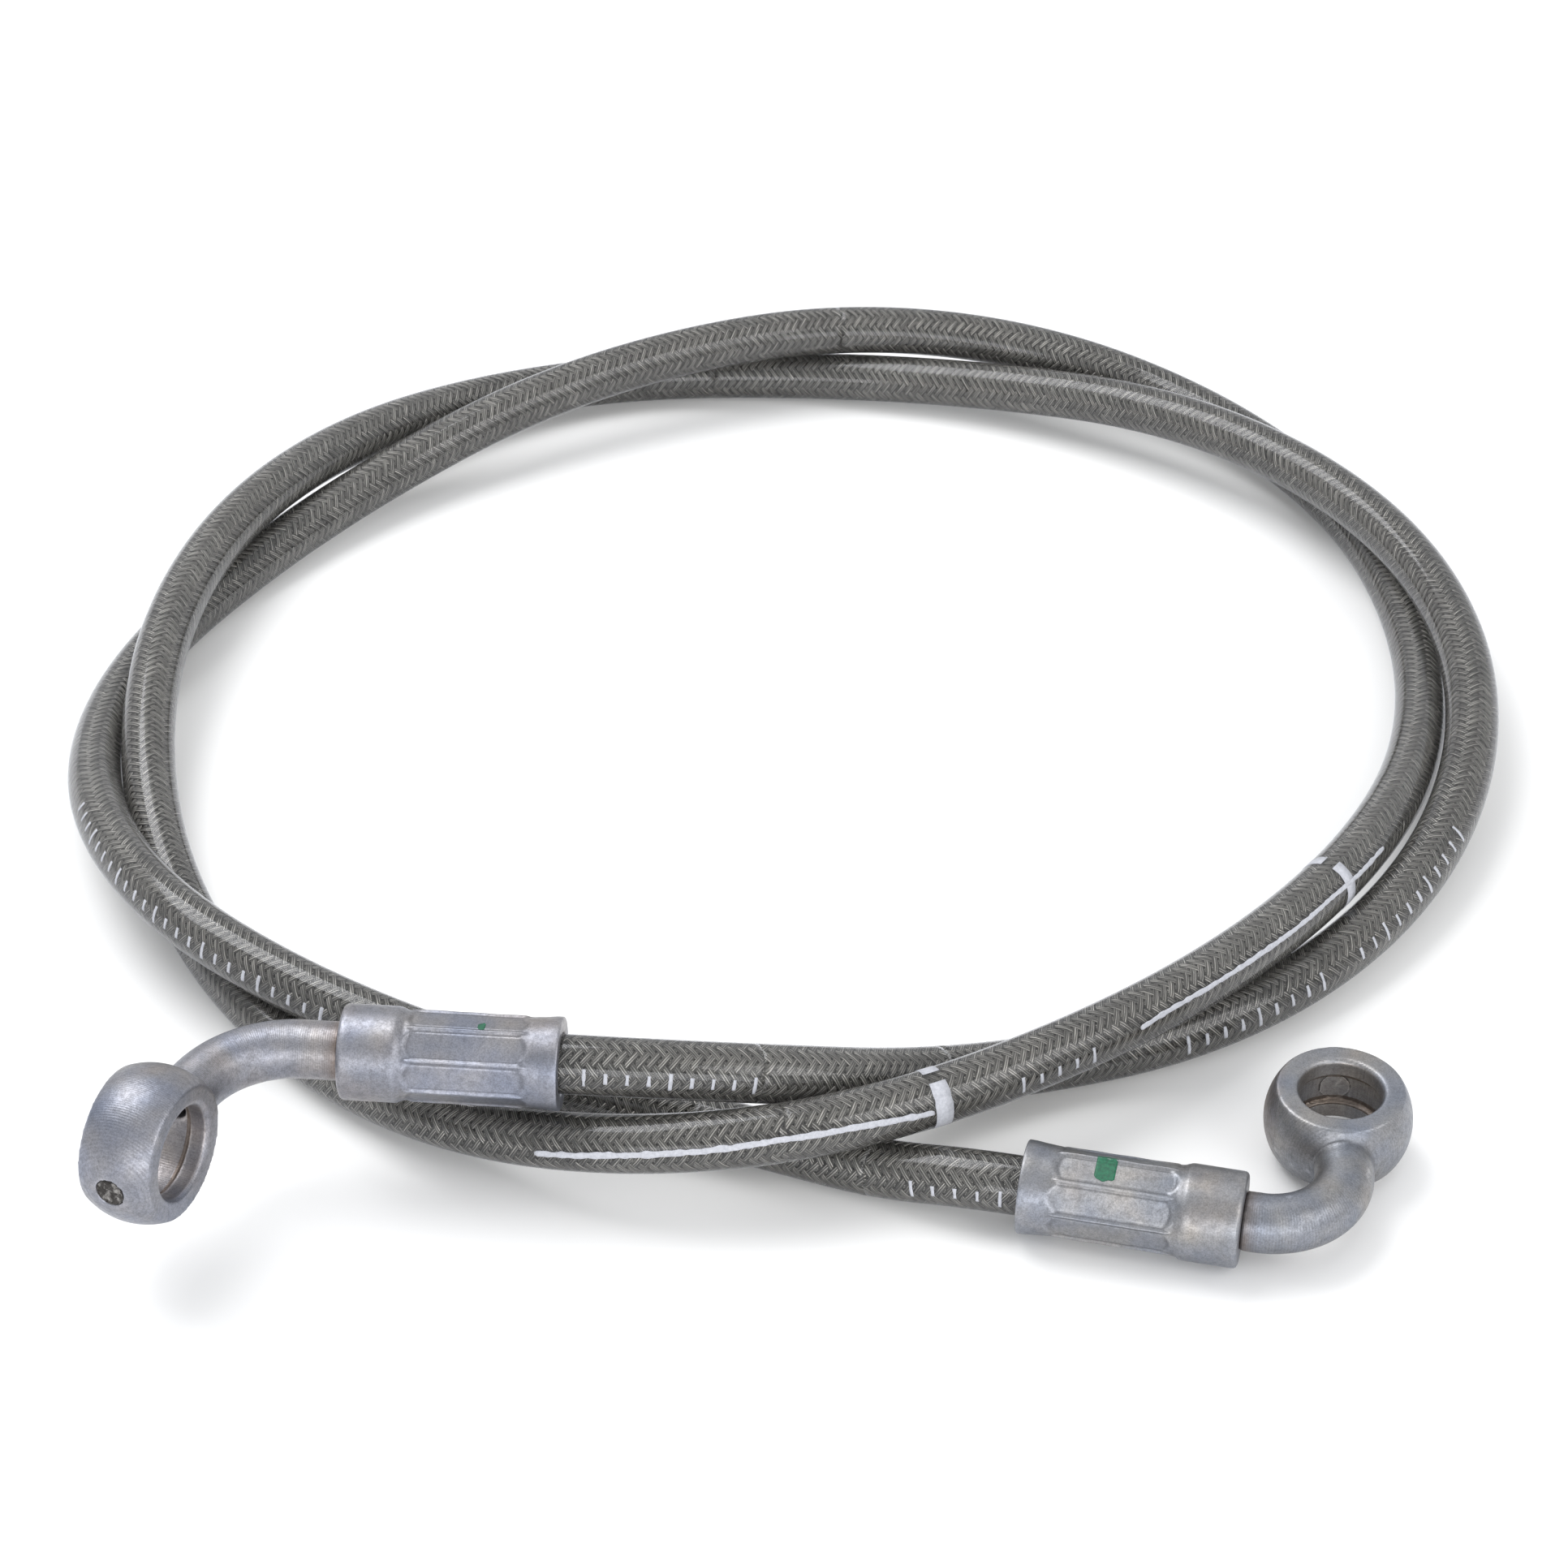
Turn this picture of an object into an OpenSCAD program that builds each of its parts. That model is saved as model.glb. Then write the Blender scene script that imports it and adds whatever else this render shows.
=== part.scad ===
// Braided hydraulic hose, coiled in two loose turns, with a crimped banjo fitting at each end.
// Millimetres, +Z up, resting on the plane z = 0. The origin is the middle of the coil on that plane.
// The hose is laid from end B to end A. Every run of it is a pair of true arcs, tangent to the next.

/* [Hose] */
// Outside diameter of the clear jacket
hose_d = 7.1; // [6.9:0.1:7.1]
// Outside diameter of the wire braid
braid_d = 6.16; // [5.8:0.02:6.2]
// Outside diameter of the liner tube
liner_d = 4.76; // [4.4:0.02:4.8]
// Bore of the liner tube
liner_bore = 3.2; // [3.16:0.02:3.4]

/* [Where the coil starts and how it crosses itself] */
// Where the hose leaves ferrule B, X
lay_x = 27.5; // [0:0.5:60]
// Where the hose leaves ferrule B, Y
lay_y = -89; // [-120:0.5:0]
// Heading of the hose there, degrees counter-clockwise from +X
lay_heading = 167; // [160:1:175]
// Height of ferrule B's axis over the bench
lay_z = 6; // [5.8:0.1:7]
// Height of an upper strand over the strand it crosses
cross_over = 7.6; // [7.3:0.1:9]
// Height of ferrule A's axis over the lowest strand
end_a_lift = 13.6; // [13.4:0.1:14]

/* [Lay of the coil: lengths of its runs] */
// Off fitting B to the bench; first left side, climbing; first left side, down and under; first back, climbing
len_1_4 = [24, 83, 93, 103]; // [24:1:150]
// First back, down; first right side, climbing; front, level over both ends; second left side, down
len_5_8 = [115, 128, 39, 80]; // [24:1:150]
// Second left side, climbing; second back, down; second back, climbing; second right side, down and under
len_9_12 = [99, 103, 111, 135]; // [24:1:150]
// Run up to fitting A
len_13 = 72; // [60:1:90]

/* [Lay of the coil: clockwise turn in the first half of each run, degrees] */
// Runs 1 to 4
in_1_4 = [8, -8, 40, 24]; // [-10:1:60]
// Runs 5 to 8
in_5_8 = [44, 35, 7, 43]; // [-10:1:60]
// Runs 9 to 12
in_9_12 = [29, 31, 28, 51]; // [-10:1:60]
// Run 13
in_13 = -7; // [-10:1:60]

/* [Lay of the coil: clockwise turn in the second half of each run, degrees] */
// Runs 1 to 4
out_1_4 = [0, 29, 37, 20]; // [0:1:60]
// Runs 5 to 8
out_5_8 = [50, 32, 10, 26]; // [0:1:60]
// Runs 9 to 12
out_9_12 = [26, 43, 33, 51]; // [0:1:60]
// Run 13
out_13 = 30; // [0:1:60]

/* [Flexing ends, measured from each ferrule's mouth] */
// Start of end B's outer bend
flex_b_out = 3; // [2:0.5:4]
// Start of end B's inner bend
flex_b_in = 20; // [19:0.5:22]
// Start of end A's outer bend
flex_a_out = 5; // [3:0.5:6]
// Start of end A's inner bend
flex_a_in = 25; // [24:0.5:28]
// Length of each bend at end B
flex_b_len = 14; // [10:1:14]
// Length of each bend at end A
flex_a_len = 16; // [10:1:16]

/* [Ferrules] */
// Length of a ferrule
ferrule_len = 26; // [26:0.5:30]
// Diameter over the uncrimped collar
ferrule_collar_d = 11.4; // [11:0.1:11.6]
// Diameter over the ridges of the crimp
ferrule_crimp_d = 10.6; // [10.4:0.1:10.8]
// Distance across two opposite crimp flats
ferrule_flats = 9.96; // [9.8:0.02:10.1]
// Diameter of the flared mouth
ferrule_mouth_d = 11.1; // [10.8:0.1:11.2]
// Depth of hose held in the ferrule
ferrule_grip = 19; // [18:0.5:19]

/* [Banjo fittings] */
// Bore of eye A
eye_a_bore = 11.1; // [10.5:0.1:11.2]
// Bore of eye B
eye_b_bore = 10.1; // [10:0.1:10.5]
// Diameter of the ball that eye A is turned from
eye_a_ball = 18.6; // [18:0.1:19]
// Diameter of the ball that eye B is turned from
eye_b_ball = 17.8; // [17.4:0.1:18.4]
// Thickness of an eye between its sealing faces
eye_thick = 9.2; // [8.8:0.1:9.6]
// Width of the oil groove inside an eye
groove_w = 4.2; // [3.6:0.2:4.6]
// Depth of the oil groove inside an eye
groove_deep = 0.7; // [0.4:0.1:0.9]
// Diameter of a neck
neck_d = 7; // [6.6:0.1:7.2]
// Oil way through a neck
oil_d = 2.5; // [2:0.1:3]
// Bend angle of neck A
neck_a_bend = 73; // [60:1:80]
// Bend angle of neck B
neck_b_bend = 101; // [90:1:105]
// Centreline radius of neck A's bend
neck_a_radius = 12.5; // [11:0.5:14]
// Centreline radius of neck B's bend
neck_b_radius = 9; // [9:0.5:11]
// Straight length of neck A before its bend
neck_a_straight = 4.6; // [3:0.5:6]
// Straight length of neck B before its bend
neck_b_straight = 1.6; // [1.5:0.1:4]
// From the end of neck A's bend to the eye's centre
eye_a_reach = 9.4; // [9:0.1:12]
// From the end of neck B's bend to the eye's centre
eye_b_reach = 9.8; // [9:0.1:12]
// Diameter of the pressed plug opposite a neck
plug_d = 3.4; // [2.8:0.1:3.4]

/* [Hidden] */
$fn = 64;

UP = [0, 0, 1];
slip = 0.05;        // gap between one part or layer and the next
hose_sleeve = 0.6;  // a sleeve covers each joint between two arcs, this far to each side
neck_sleeve = 0.3;  // the same in a neck
bead = 0.02;        // a sleeve stands this much proud
seam = 0.02;        // each section of hose stops this far short of its end
core_over = 0.6;    // the hole through a section runs this far past its ends
hose_r = hose_d / 2;
neck_r = neck_d / 2;

// ---- arcs: [start point, start direction, end direction, length, station of its start] ----
START = 0;
DIR_IN = 1;
DIR_OUT = 2;
LENGTH = 3;
STATION = 4;
straight_below = 0.01;  // an arc that turns less than this, in degrees, counts as straight

function unit(v) = v / norm(v);
function direction(heading, climb) =
  [cos(heading) * cos(climb), sin(heading) * cos(climb), sin(climb)];
function angle_between(v, w) = atan2(norm(cross(v, w)), v * w);
// length of an arc's two end tangents, up to where they meet, over the length of the arc
function tangent_ratio(turn) =
  abs(turn) < straight_below ? 1 : tan(abs(turn) / 2) / (abs(turn) * PI / 360);
function arc_end(start, dir_in, dir_out, length) =
  start + length / 2 * tangent_ratio(angle_between(dir_in, dir_out)) * (dir_in + dir_out);

// places local x, y, z along three directions at a point
module place(origin, x, y, z) {
  multmatrix([[x[0], y[0], z[0], origin[0]],
              [x[1], y[1], z[1], origin[1]],
              [x[2], y[2], z[2], origin[2]],
              [0, 0, 0, 1]])
    children();
}

// places local z along a direction at a point
module place_along(origin, z) {
  x = unit(cross(abs(z[2]) < 0.9 ? UP : [1, 0, 0], z));
  place(origin, x, cross(z, x), z) children();
}

// round rod along one arc, between two lengths along it
module arc_rod(arc, from, to, r) {
  dir_in = arc[DIR_IN];
  turn = angle_between(dir_in, arc[DIR_OUT]);
  if (turn < straight_below) {
    place_along(arc[START] + from * dir_in, dir_in) cylinder(r = r, h = to - from);
  } else {
    bend_r = arc[LENGTH] * 180 / (turn * PI);
    inward = unit(arc[DIR_OUT] - cos(turn) * dir_in);
    place(arc[START] + bend_r * inward, -inward, dir_in, cross(dir_in, inward))
      rotate([0, 0, from / bend_r * 180 / PI])
        rotate_extrude(angle = (to - from) / bend_r * 180 / PI)
          translate([bend_r, 0]) circle(r = r);
  }
}

// true where arc i starts at a joint that needs a sleeve, between two stations
function has_sleeve(arcs, i, from, to, sleeve) =
  i > 0 && i < len(arcs)
  && arcs[i][STATION] > from + sleeve && arcs[i][STATION] < to - sleeve;

// round rod along a chain of arcs between two stations; under a sleeve the arcs stop short
module rod(arcs, from, to, r, sleeve) {
  last = len(arcs) - 1;
  for (i = [0 : last]) {
    arc = arcs[i];
    first_end = from - arc[STATION];
    last_end = to - arc[STATION];
    head = has_sleeve(arcs, i, from, to, sleeve);
    tail = has_sleeve(arcs, i + 1, from, to, sleeve);
    low = i == 0 ? first_end : max(first_end, head ? sleeve / 3 : 0);
    high = i == last ? last_end : min(last_end, arc[LENGTH] - (tail ? sleeve / 3 : 0));
    if (high - low > 0.001) arc_rod(arc, low, high, r);
    if (head)
      place_along(arc[START] - sleeve * arc[DIR_IN], arc[DIR_IN])
        cylinder(r = r + bead, h = 2 * sleeve);
  }
}

// ---- lay of the hose ----
LENGTHS = concat(len_1_4, len_5_8, len_9_12, [len_13]);
TURNS_IN = concat(in_1_4, in_5_8, in_9_12, [in_13]);
TURNS_OUT = concat(out_1_4, out_5_8, out_9_12, [out_13]);
// runs 2 to 12: up over a strand (1), down again (-1) or level (0)
STEPS = [1, -1, 1, -1, 1, 0, -1, 1, -1, 1, -1];
RISES = concat([hose_r - lay_z + 0.05], [for (step = STEPS) step * cross_over], [end_a_lift]);
// each run: length, first turn, second turn, rise; a straight grip in a ferrule at each end
GRIP_RUN = [ferrule_grip, 0, 0, 0];
RUNS = concat([GRIP_RUN],
              [for (i = [0 : len(LENGTHS) - 1]) [LENGTHS[i], TURNS_IN[i], TURNS_OUT[i], RISES[i]]],
              [GRIP_RUN]);

// climb half way along a run, where it is steepest, that gives the run its rise
function mid_climb(run) =
  asin(4 * run[3] / (run[0] * (tangent_ratio(run[1]) + tangent_ratio(run[2]))));

// arcs of run i and all that follow it
function lay(i, start, heading, station) = i == len(RUNS) ? [] :
  let (run = RUNS[i],
       half = run[0] / 2,
       end_heading = heading - run[1] - run[2],
       dir_start = direction(heading, 0),
       dir_mid = direction(heading - run[1], mid_climb(run)),
       dir_end = direction(end_heading, 0),
       middle = arc_end(start, dir_start, dir_mid, half))
  concat([[start, dir_start, dir_mid, half, station],
          [middle, dir_mid, dir_end, half, station + half]],
         lay(i + 1, arc_end(middle, dir_mid, dir_end, half), end_heading, station + run[0]));

MOUTH_B = [lay_x, lay_y, lay_z];
HOSE_ARCS = lay(0, MOUTH_B - ferrule_grip * direction(lay_heading, 0), lay_heading, 0);
LAST_ARC = HOSE_ARCS[len(HOSE_ARCS) - 1];
HOSE_LEN = LAST_ARC[STATION] + LAST_ARC[LENGTH];
MOUTH_A = LAST_ARC[START] + (LAST_ARC[LENGTH] - ferrule_grip) * LAST_ARC[DIR_IN];
// directions from each mouth into its ferrule
DIR_A = LAST_ARC[DIR_IN];
DIR_B = -HOSE_ARCS[0][DIR_IN];

// sections of the hose, each from one station to another; bend 1 is next to the coil
STATION_MOUTH_A = HOSE_LEN - ferrule_grip;
BEND_B2 = ferrule_grip + flex_b_out + [0, flex_b_len][0] == undef ? [] :
  [ferrule_grip + flex_b_out, ferrule_grip + flex_b_out + flex_b_len];
BEND_B1 = [ferrule_grip + flex_b_in, ferrule_grip + flex_b_in + flex_b_len];
BEND_A1 = [STATION_MOUTH_A - flex_a_in - flex_a_len, STATION_MOUTH_A - flex_a_in];
BEND_A2 = [STATION_MOUTH_A - flex_a_out - flex_a_len, STATION_MOUTH_A - flex_a_out];
END_B = [0, BEND_B2[0]];
MID_B = [BEND_B2[1], BEND_B1[0]];
COIL = [BEND_B1[1], BEND_A1[0]];
MID_A = [BEND_A1[1], BEND_A2[0]];
END_A = [BEND_A2[1], HOSE_LEN];

// one layer of a section of the hose
module layer(section, outer_r, inner_r) {
  difference() {
    rod(HOSE_ARCS, section[0] + seam, section[1] - seam, outer_r, hose_sleeve);
    rod(HOSE_ARCS, section[0] - core_over, section[1] + core_over, inner_r, hose_sleeve);
  }
}
module jacket(section) { color([0.62, 0.61, 0.58]) layer(section, hose_r, braid_d / 2 + slip); }
module braid(section) { color([0.42, 0.41, 0.38]) layer(section, braid_d / 2, liner_d / 2 + slip); }
module liner(section) { color([0.92, 0.92, 0.9]) layer(section, liner_d / 2, liner_bore / 2); }

// ---- ferrule: z = 0 at the mouth, z = ferrule_len at the neck ----
lip_thick = 1.8;              // lip at the neck end
lip_z = ferrule_len - lip_thick;
lip_hole_r = neck_r - 0.45;
chamber_r = 4.2;              // room behind the lip for the fitting's collar
crimp_start = 3.6;
crimp_end = ferrule_grip - 0.8;
flat_count = 8;
flat_turn = 11;               // angle of the first flat
flat_inset = 0.1;             // flats stop this far inside the crimp's ends
flat_w = 6;                   // size of the block that cuts a flat
flat_cut = 3;

module ferrule() {
  collar_r = ferrule_collar_d / 2;
  crimp_r = ferrule_crimp_d / 2;
  mouth_r = ferrule_mouth_d / 2;
  hole_r = hose_r + 0.04;
  collar_z = crimp_end + 1.2;
  hole_end = ferrule_grip + 0.3;
  color([0.62, 0.63, 0.66]) difference() {
    // [radius, z]: mouth, crimp and collar outside, then back down the inside
    rotate_extrude() polygon([
      [hole_r + 0.3, 0], [mouth_r - 0.25, 0], [mouth_r, 0.25], [mouth_r, 0.9],
      [crimp_r + 0.05, crimp_start - 0.3], [crimp_r, crimp_start], [crimp_r, crimp_end],
      [collar_r, collar_z], [collar_r, ferrule_len - 0.6], [collar_r - 0.6, ferrule_len],
      [lip_hole_r, ferrule_len], [lip_hole_r, lip_z], [chamber_r, lip_z],
      [chamber_r, hole_end], [hole_r, hole_end], [hole_r, 0.3]]);
    for (i = [0 : flat_count - 1]) rotate([0, 0, 360 / flat_count * i + flat_turn])
      translate([ferrule_flats / 2, -flat_w / 2, crimp_start + flat_inset])
        cube([flat_cut, flat_w, crimp_end - crimp_start - 2 * flat_inset]);
  }
}

// ---- banjo fitting, in the same frame as its ferrule; its neck bends towards -y ----
neck_z = ferrule_len + slip;
neck_short = 1.4;        // the neck stops this far short of the eye's bore
stem_r = 1.57;
stem_groove_r = 1.46;
stem_bore_d = 1.9;
collar_start = ferrule_grip + 0.4;
eye_chamfer = 0.5;
chamfer_over = 0.1;      // the chamfer's cutter runs this far past the sealing face
plug_fit = 0.04;         // the drilling is this much wider than the plug
plug_gap = 0.1;          // from the oil groove to the plug
plug_sunk = 0.5;         // the plug ends this far inside the ball's radius

// a straight, a bend, and a straight to the eye's centre
function neck_arcs(straight, bend_r, bend, reach) =
  let (dir_eye = [0, -sin(bend), cos(bend)],
       bend_start = [0, 0, neck_z + straight],
       bend_len = bend_r * bend * PI / 180,
       bend_end = arc_end(bend_start, UP, dir_eye, bend_len))
  [[[0, 0, neck_z], UP, UP, straight, 0],
   [bend_start, UP, dir_eye, bend_len, straight],
   [bend_end, dir_eye, dir_eye, reach, straight + bend_len]];

NECK_A = neck_arcs(neck_a_straight, neck_a_radius, neck_a_bend, eye_a_reach);
NECK_B = neck_arcs(neck_b_straight, neck_b_radius, neck_b_bend, eye_b_reach);
// axes of the eyes: A's lies in the plane of its neck's bend, B's is square to it
AXIS_A = [0, cos(neck_a_bend), sin(neck_a_bend)];
AXIS_B = [1, 0, 0];

// frame of an eye: origin at its centre, x away from the neck, z along its axis
module at_eye(neck, axis) {
  reach = neck[2];
  x = reach[DIR_IN];
  place(reach[START] + reach[LENGTH] * x, x, cross(axis, x), axis) children();
}

// stem inside the hose with three grooves, and collar behind the ferrule's lip
module stem() {
  collar_r = chamber_r - 0.3;
  collar_end = lip_z - slip;
  waist_r = lip_hole_r - slip;
  root_r = neck_r - 0.1;
  // [radius, z]
  rotate_extrude() polygon(concat(
    [[0, 2.5], [1.3, 2.5], [stem_r, 3.2]],
    [for (i = [0 : 2], point = [[stem_r, 6], [stem_groove_r, 6.2], [stem_r, 7.6]])
      point + [0, 3.4 * i]],
    [[stem_r, collar_start], [collar_r, collar_start], [collar_r, collar_end],
     [waist_r, collar_end], [waist_r, neck_z + 0.01],
     [root_r, neck_z + 0.01], [root_r, neck_z + 0.5], [0, neck_z + 0.5]]));
}

module banjo(neck, ball, bore, axis) {
  neck_end = neck[2][STATION] + neck[2][LENGTH];
  color([0.60, 0.61, 0.64]) difference() {
    union() {
      // ball cut flat at both sealing faces
      difference() {
        at_eye(neck, axis) sphere(d = ball, $fn = 96);
        at_eye(neck, axis) for (m = [0, 1]) mirror([0, 0, m])
          translate([-ball, -ball, eye_thick / 2]) cube([2 * ball, 2 * ball, ball]);
      }
      rod(neck, 0, neck_end - bore / 2 - neck_short, neck_r, neck_sleeve);
      stem();
    }
    at_eye(neck, axis) {
      translate([0, 0, -ball]) cylinder(d = bore, h = 2 * ball);
      translate([0, 0, -groove_w / 2]) cylinder(r = bore / 2 + groove_deep, h = groove_w);
      for (m = [0, 1]) mirror([0, 0, m])
        translate([0, 0, eye_thick / 2 - eye_chamfer])
          cylinder(r1 = bore / 2 - chamfer_over, r2 = bore / 2 + eye_chamfer,
                   h = eye_chamfer + chamfer_over);
      // drilling through the far wall, closed by the plug
      translate([1, 0, 0]) rotate([0, 90, 0]) cylinder(d = plug_d + plug_fit, h = ball);
    }
    rod(neck, -0.5, neck_end, oil_d / 2, neck_sleeve);
    cylinder(d = stem_bore_d, h = neck_z + 0.2);
  }
}

module plug(neck, ball, bore, axis) {
  plug_start = bore / 2 + groove_deep + plug_gap;
  color([0.25, 0.23, 0.21]) at_eye(neck, axis)
    rotate([0, 90, 0]) translate([0, 0, plug_start])
      cylinder(d = plug_d, h = ball / 2 - plug_sunk - plug_start);
}

// ---- nodes ----
module at_end_a() { place(MOUTH_A, UP, cross(DIR_A, UP), DIR_A) children(); }
module at_end_b() { place(MOUTH_B, UP, cross(DIR_B, UP), DIR_B) children(); }

module jacket_coil() { jacket(COIL); }
module braid_coil() { braid(COIL); }
module liner_coil() { liner(COIL); }
module jacket_bend_a1() { jacket(BEND_A1); }
module braid_bend_a1() { braid(BEND_A1); }
module liner_bend_a1() { liner(BEND_A1); }
module jacket_mid_a() { jacket(MID_A); }
module braid_mid_a() { braid(MID_A); }
module liner_mid_a() { liner(MID_A); }
module jacket_bend_a2() { jacket(BEND_A2); }
module braid_bend_a2() { braid(BEND_A2); }
module liner_bend_a2() { liner(BEND_A2); }
module jacket_end_a() { jacket(END_A); }
module braid_end_a() { braid(END_A); }
module liner_end_a() { liner(END_A); }
module jacket_bend_b1() { jacket(BEND_B1); }
module braid_bend_b1() { braid(BEND_B1); }
module liner_bend_b1() { liner(BEND_B1); }
module jacket_mid_b() { jacket(MID_B); }
module braid_mid_b() { braid(MID_B); }
module liner_mid_b() { liner(MID_B); }
module jacket_bend_b2() { jacket(BEND_B2); }
module braid_bend_b2() { braid(BEND_B2); }
module liner_bend_b2() { liner(BEND_B2); }
module jacket_end_b() { jacket(END_B); }
module braid_end_b() { braid(END_B); }
module liner_end_b() { liner(END_B); }
module ferrule_a() { at_end_a() ferrule(); }
module ferrule_b() { at_end_b() ferrule(); }
module banjo_a() { at_end_a() banjo(NECK_A, eye_a_ball, eye_a_bore, AXIS_A); }
module banjo_b() { at_end_b() banjo(NECK_B, eye_b_ball, eye_b_bore, AXIS_B); }
module plug_a() { at_end_a() plug(NECK_A, eye_a_ball, eye_a_bore, AXIS_A); }
module plug_b() { at_end_b() plug(NECK_B, eye_b_ball, eye_b_bore, AXIS_B); }

jacket_coil();
braid_coil();
liner_coil();
jacket_bend_a1();
braid_bend_a1();
liner_bend_a1();
jacket_mid_a();
braid_mid_a();
liner_mid_a();
jacket_bend_a2();
braid_bend_a2();
liner_bend_a2();
jacket_end_a();
braid_end_a();
liner_end_a();
jacket_bend_b1();
braid_bend_b1();
liner_bend_b1();
jacket_mid_b();
braid_mid_b();
liner_mid_b();
jacket_bend_b2();
braid_bend_b2();
liner_bend_b2();
jacket_end_b();
braid_end_b();
liner_end_b();
ferrule_a();
ferrule_b();
banjo_a();
banjo_b();
plug_a();
plug_b();
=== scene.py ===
"""Looks for a coiled braided hose: clear jacket, woven braid, crimped ferrules, banjo fittings.

The coil lies on the floor z = 0, and the camera looks at it from -y and above. Stations run in
mm along the hose from end b, whose fitting points towards +x near the camera, to end a.
Lengths are in mm unless a name or comment says metres; MM turns them into metres.
"""
import math
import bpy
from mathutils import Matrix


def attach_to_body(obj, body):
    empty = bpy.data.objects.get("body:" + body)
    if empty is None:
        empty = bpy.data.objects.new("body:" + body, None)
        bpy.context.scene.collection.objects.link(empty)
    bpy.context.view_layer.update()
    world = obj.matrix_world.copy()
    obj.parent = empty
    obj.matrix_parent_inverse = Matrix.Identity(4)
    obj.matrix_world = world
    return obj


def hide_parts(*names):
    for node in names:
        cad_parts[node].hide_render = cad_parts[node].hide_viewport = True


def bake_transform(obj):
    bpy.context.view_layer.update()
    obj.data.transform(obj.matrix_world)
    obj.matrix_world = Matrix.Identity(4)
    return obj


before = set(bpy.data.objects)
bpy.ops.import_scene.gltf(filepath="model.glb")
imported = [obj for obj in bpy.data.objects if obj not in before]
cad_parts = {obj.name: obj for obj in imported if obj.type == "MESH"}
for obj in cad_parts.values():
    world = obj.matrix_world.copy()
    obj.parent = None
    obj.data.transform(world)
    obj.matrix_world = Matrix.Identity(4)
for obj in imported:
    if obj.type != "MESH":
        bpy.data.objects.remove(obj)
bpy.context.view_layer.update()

from types import SimpleNamespace

import bpy
import numpy as np
from mathutils import Vector

MM = 0.001
TURN = 2 * math.pi
UP = np.array([0, 0, 1.0])

# ------------------------------------------------------------------ driving sizes
GRIP = 19.0             # length of hose held inside each ferrule
FERRULE_LENGTH = 26.0
FERRULE_AROUND = 384    # vertices round a ferrule
JACKET_OUTER, JACKET_INNER = 3.55, 2.60
BACKING_OUTER, BACKING_INNER = 2.74, 2.42
LINER_OUTER, LINER_INNER = 2.38, 1.60
BRAID_PITCH = 14.8      # axial length of one turn of a carrier
CARRIERS = 12           # ribbons wound each way
SAMPLE_STEP = 0.25      # spacing of the centreline samples

# lay of the hose: length, right turn of each half (degrees), rise
RUNS = [
    (GRIP, 0, 0, 0), (24, 8, 0, -2.4), (83, -8, 29, 7.6), (93, 40, 37, -7.6),
    (103, 24, 20, 7.6), (115, 44, 50, -7.6), (128, 35, 32, 7.6), (39, 7, 10, 0),
    (80, 43, 26, -7.6), (99, 29, 26, 7.6), (103, 31, 43, -7.6), (111, 28, 33, 7.6),
    (135, 51, 51, -7.6), (72, -7, 30, 13.6), (GRIP, 0, 0, 0)]
START = np.array([27.5, -89.0, 6.0])    # mouth of ferrule b
HEADING = 167.0                         # degrees from +x, of the hose as it leaves ferrule b

# camera
ELEVATION = math.radians(37.0)
TARGET = np.array([-0.5, -12.0, 7.0])
CAMERA_DISTANCE = 530.0
VIEW_RIGHT = np.array([1.0, 0, 0])
VIEW_UP = np.array([0, math.sin(ELEVATION), math.cos(ELEVATION)])
CAMERA = TARGET + CAMERA_DISTANCE * np.array([0, -math.cos(ELEVATION), math.sin(ELEVATION)])


# ------------------------------------------------------------------ centreline
def direction(heading, climb):
    """unit vector from two angles in degrees"""
    heading, climb = math.radians(heading), math.radians(climb)
    return np.array([math.cos(heading) * math.cos(climb), math.sin(heading) * math.cos(climb),
                     math.sin(climb)])


def angle_between(a, b):
    return math.atan2(np.linalg.norm(np.cross(a, b)), float(a @ b))


def tangent_ratio(angle):
    """length of an arc's two end tangents, up to where they meet, over the arc's own length"""
    angle = abs(angle)
    return 1.0 if angle < 1e-4 else math.tan(angle / 2) / (angle / 2)


def lay_arcs():
    """two arcs for each run: start point, start and end directions, length, start station"""
    arcs, point, heading, station = [], START - GRIP * direction(HEADING, 0), HEADING, 0.0
    for length, turn1, turn2, rise in RUNS:
        half = length / 2
        ratios = tangent_ratio(math.radians(turn1)) + tangent_ratio(math.radians(turn2))
        climb = math.degrees(math.asin(4 * rise / (length * ratios)))
        first = direction(heading, 0)
        middle = direction(heading - turn1, climb)
        last = direction(heading - turn1 - turn2, 0)
        for before, after in ((first, middle), (middle, last)):
            arcs.append((point, before, after, half, station))
            ratio = tangent_ratio(angle_between(before, after))
            point = point + half / 2 * ratio * (before + after)
            station += half
        heading -= turn1 + turn2
    return arcs


ARCS = lay_arcs()
TOTAL = ARCS[-1][4] + ARCS[-1][3]


def at(station):
    """point and direction of the centreline at a station"""
    for arc in ARCS:
        if station <= arc[4] + arc[3] + 1e-9:
            break
    point, before, after, length, arc_start = arc
    run, angle = station - arc_start, angle_between(before, after)
    if angle < 1e-5:
        return point + run * before, before
    inward = after - math.cos(angle) * before
    inward /= np.linalg.norm(inward)
    radius = length / angle
    swept = run / radius
    point = point + radius * (math.sin(swept) * before + (1 - math.cos(swept)) * inward)
    return point, math.cos(swept) * before + math.sin(swept) * inward


def untwisted_normals(tangents):
    """normals that start upright and follow the tangents without twisting"""
    normals = np.zeros_like(tangents)
    normal = UP - tangents[0][2] * tangents[0]
    for i, tangent in enumerate(tangents):
        normal = normal - (normal @ tangent) * tangent
        normal /= np.linalg.norm(normal)
        normals[i] = normal
    return normals


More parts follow.
